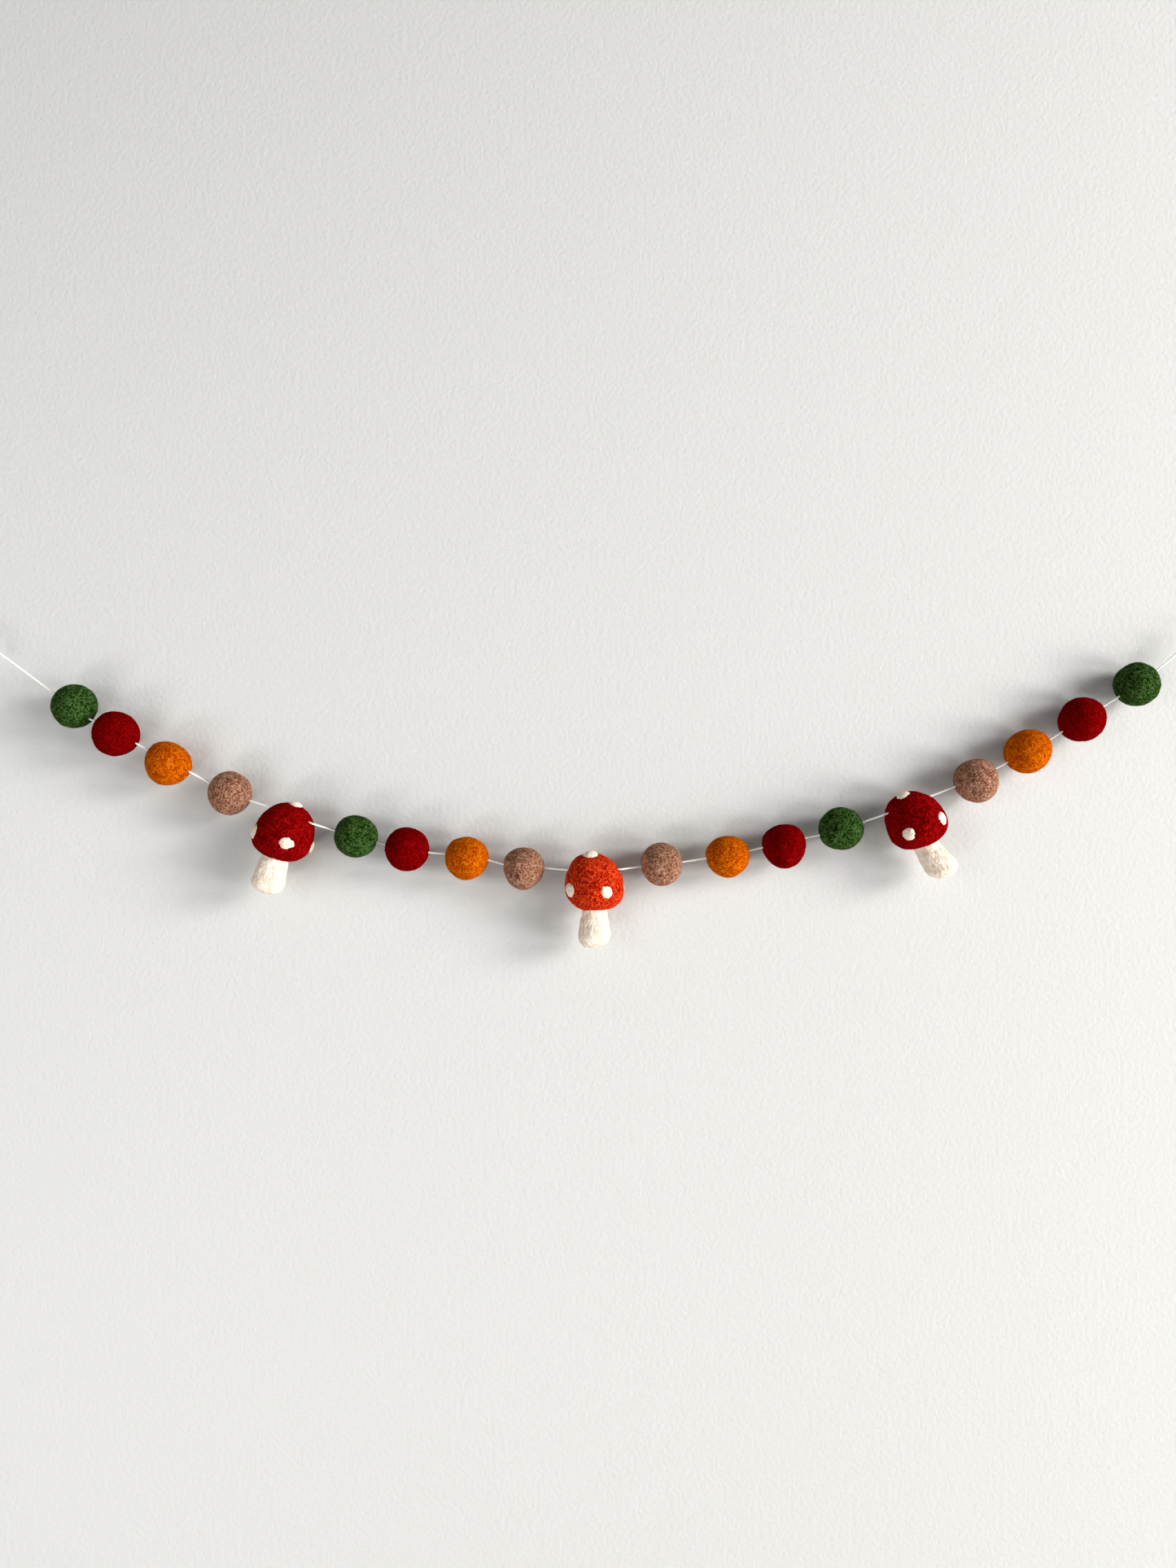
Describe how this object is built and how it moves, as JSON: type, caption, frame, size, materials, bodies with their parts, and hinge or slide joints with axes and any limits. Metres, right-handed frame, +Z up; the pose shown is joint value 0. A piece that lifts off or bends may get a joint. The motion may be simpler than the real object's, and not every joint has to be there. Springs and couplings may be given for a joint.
{
  "type": "felt ball garland",
  "caption": "Hanging garland of wool felt balls and small felt toadstools threaded on one white cotton string with a tied loop at each end.",
  "frame": {"origin": "middle of the left hanging loop, where its pin or nail goes", "axes": "+X along the garland from the left loop to the right one, +Y back to the wall behind it, +Z up"},
  "size_m": [0.7309, 0.036, 0.1876],
  "materials": {
    "felt_green": "felted wool",
    "felt_red": "felted wool",
    "felt_mustard": "felted wool",
    "felt_tan": "felted wool",
    "felt_orange_red": "needle-felted wool with small pits",
    "felt_dark_red": "felted wool",
    "felt_white": "needle-felted wool",
    "cotton_white": "twisted cotton string"
  },
  "bodies": {
    "root": {"ball_01_green": "felt_green", "ball_02_red": "felt_red", "ball_03_mustard": "felt_mustard", "ball_04_tan": "felt_tan", "ball_05_green": "felt_green", "ball_06_red": "felt_red", "ball_07_mustard": "felt_mustard", "ball_08_tan": "felt_tan", "ball_09_tan": "felt_tan", "ball_10_mustard": "felt_mustard", "ball_11_red": "felt_red", "ball_12_green": "felt_green", "ball_13_tan": "felt_tan", "ball_14_mustard": "felt_mustard", "ball_15_red": "felt_red", "ball_16_green": "felt_green", "cap_left": "felt_dark_red", "cap_middle": "felt_orange_red", "cap_right": "felt_dark_red", "stem_left": "felt_white", "stem_middle": "felt_white", "stem_right": "felt_white", "spot_left_1": "felt_white", "spot_left_2": "felt_white", "spot_left_3": "felt_white", "spot_left_4": "felt_white", "spot_left_5": "felt_white", "spot_left_6": "felt_white", "spot_middle_1": "felt_white", "spot_middle_2": "felt_white", "spot_middle_3": "felt_white", "spot_middle_4": "felt_white", "spot_middle_5": "felt_white", "spot_right_1": "felt_white", "spot_right_2": "felt_white", "spot_right_3": "felt_white", "spot_right_4": "felt_white", "spot_right_5": "felt_white", "string": "cotton_white", "knot_left": "cotton_white", "knot_right": "cotton_white"}
  },
  "joints": []
}
